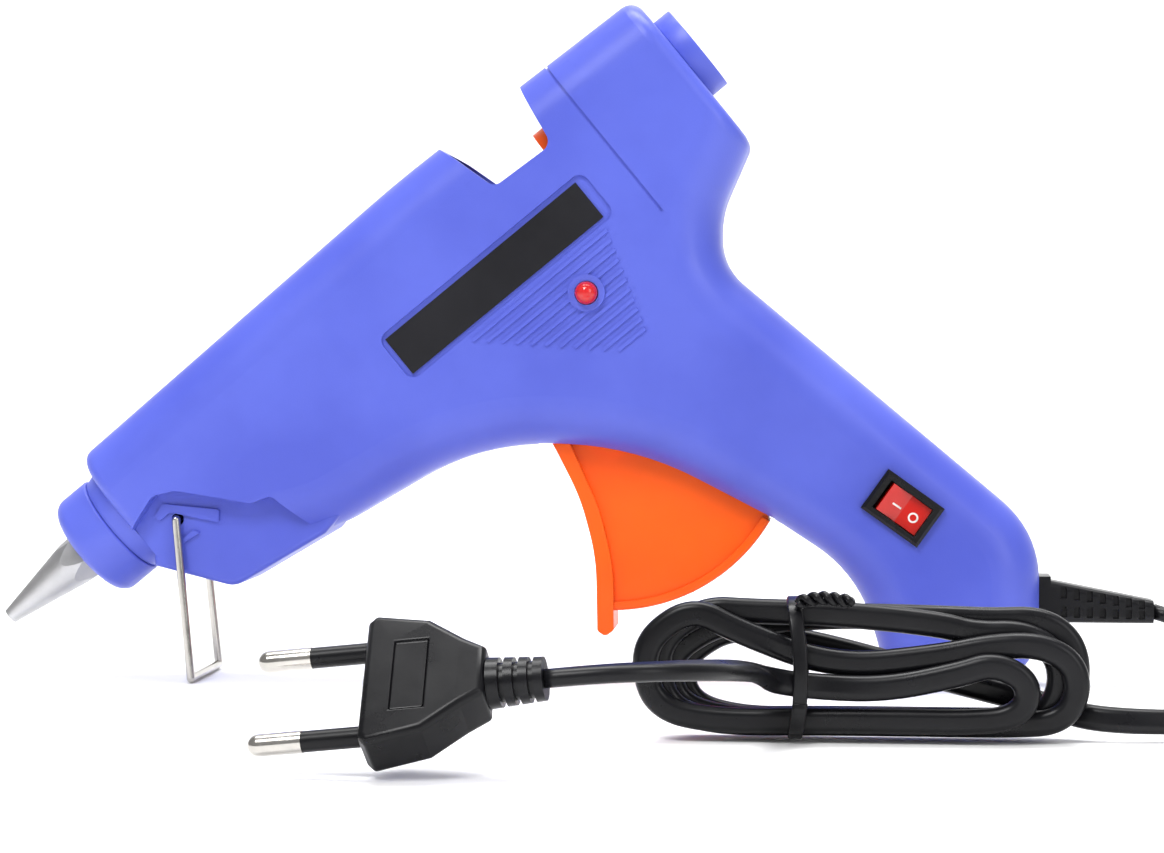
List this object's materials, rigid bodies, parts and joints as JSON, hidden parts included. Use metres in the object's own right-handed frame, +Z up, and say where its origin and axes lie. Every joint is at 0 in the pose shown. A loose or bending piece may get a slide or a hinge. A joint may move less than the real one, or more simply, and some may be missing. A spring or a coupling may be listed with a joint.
{
  "type": "hot glue gun",
  "caption": "Pistol-shaped hot glue gun with a cone nozzle, fold-down wire stand, finger trigger, rocker switch, lamp and a tied mains cord with a flat two-pin plug.",
  "frame": {"origin": "middle of the handle's flat base on the floor, in the housing's parting plane", "axes": "+Z up, -X towards the nozzle, +X towards the handle back and cord, +Y out of the right side; the switch, lamp and label are on the left side, -Y"},
  "size_m": [0.3009, 0.1777, 0.1511],
  "materials": {
    "shell_blue": "fine-grained satin blue moulding",
    "trigger_orange": "glossy orange moulding",
    "bare_aluminium": "turned and ground, bare",
    "cast_aluminium": "die cast, matt",
    "nickel_wire": "nickel plated",
    "spring_steel": "zinc plated",
    "ceramic_white": "matt sintered",
    "silicone": "soft translucent moulding",
    "switch_black": "gloss black moulding",
    "rocker_red": "red moulding",
    "lamp_red": "clear red epoxy",
    "board_green": "laminate",
    "label_black": "printed film, blank",
    "brass_tab": "plain",
    "black_rubber": "matt PVC",
    "wire_brown": "PVC",
    "wire_blue": "PVC"
  },
  "bodies": {
    "housing": {"housing_left": "shell_blue", "housing_right": "shell_blue", "front_collar": "shell_blue", "stick_inlet": "shell_blue", "nozzle": "bare_aluminium", "melt_chamber": "cast_aluminium", "ptc_heater": "ceramic_white", "heater_clip": "spring_steel", "stick_sleeve": "silicone", "sleeve_clamp": "spring_steel", "trigger_pin": "spring_steel", "return_spring": "spring_steel", "switch_body": "switch_black", "switch_terminals": "brass_tab", "lamp": "lamp_red", "lamp_board": "board_green", "label_plate": "label_black", "housing_screws": "spring_steel", "strain_relief": "black_rubber", "wire_brown": "wire_brown", "wire_blue": "wire_blue", "cord_lead": "black_rubber", "cord_hank": "black_rubber", "cord_tail": "black_rubber", "twist_tie": "black_rubber", "plug_body": "black_rubber", "plug_pins": "nickel_wire", "plug_pin_sleeves": "black_rubber", "plug_relief": "black_rubber"},
    "carriage": {"feed_carriage": "trigger_orange"},
    "trigger": {"trigger": "trigger_orange"},
    "stand": {"wire_stand": "nickel_wire"},
    "rocker": {"switch_rocker": "rocker_red"}
  },
  "joints": [
    {"name": "trigger_pivot", "type": "hinge", "parent": "housing", "child": "trigger", "pos_m": [-0.0756, 0, 0.057], "axis": [0, -1, 0], "range_deg": [0, 22.2], "stiffness_Nm_per_rad": 0.12, "springref_deg": -20.05},
    {"name": "carriage_slide", "type": "slide", "parent": "housing", "child": "carriage", "axis": [-0.7745, 0, -0.6326], "range_m": [0, 0.0142], "deforming": ["return_spring"]},
    {"name": "stand_fold", "type": "hinge", "parent": "housing", "child": "stand", "pos_m": [-0.1729, 0, 0.0364], "axis": [0, -1, 0], "range_deg": [0, 77]},
    {"name": "rocker_tilt", "type": "hinge", "parent": "housing", "child": "rocker", "pos_m": [-0.0112, -0.0153, 0.04], "axis": [-0.5807, 0, -0.8141], "range_deg": [0, 18]}
  ],
  "couplings": [
    {"joint": "carriage_slide", "follows": "trigger_pivot", "m_per_rad": 0.036132}
  ]
}
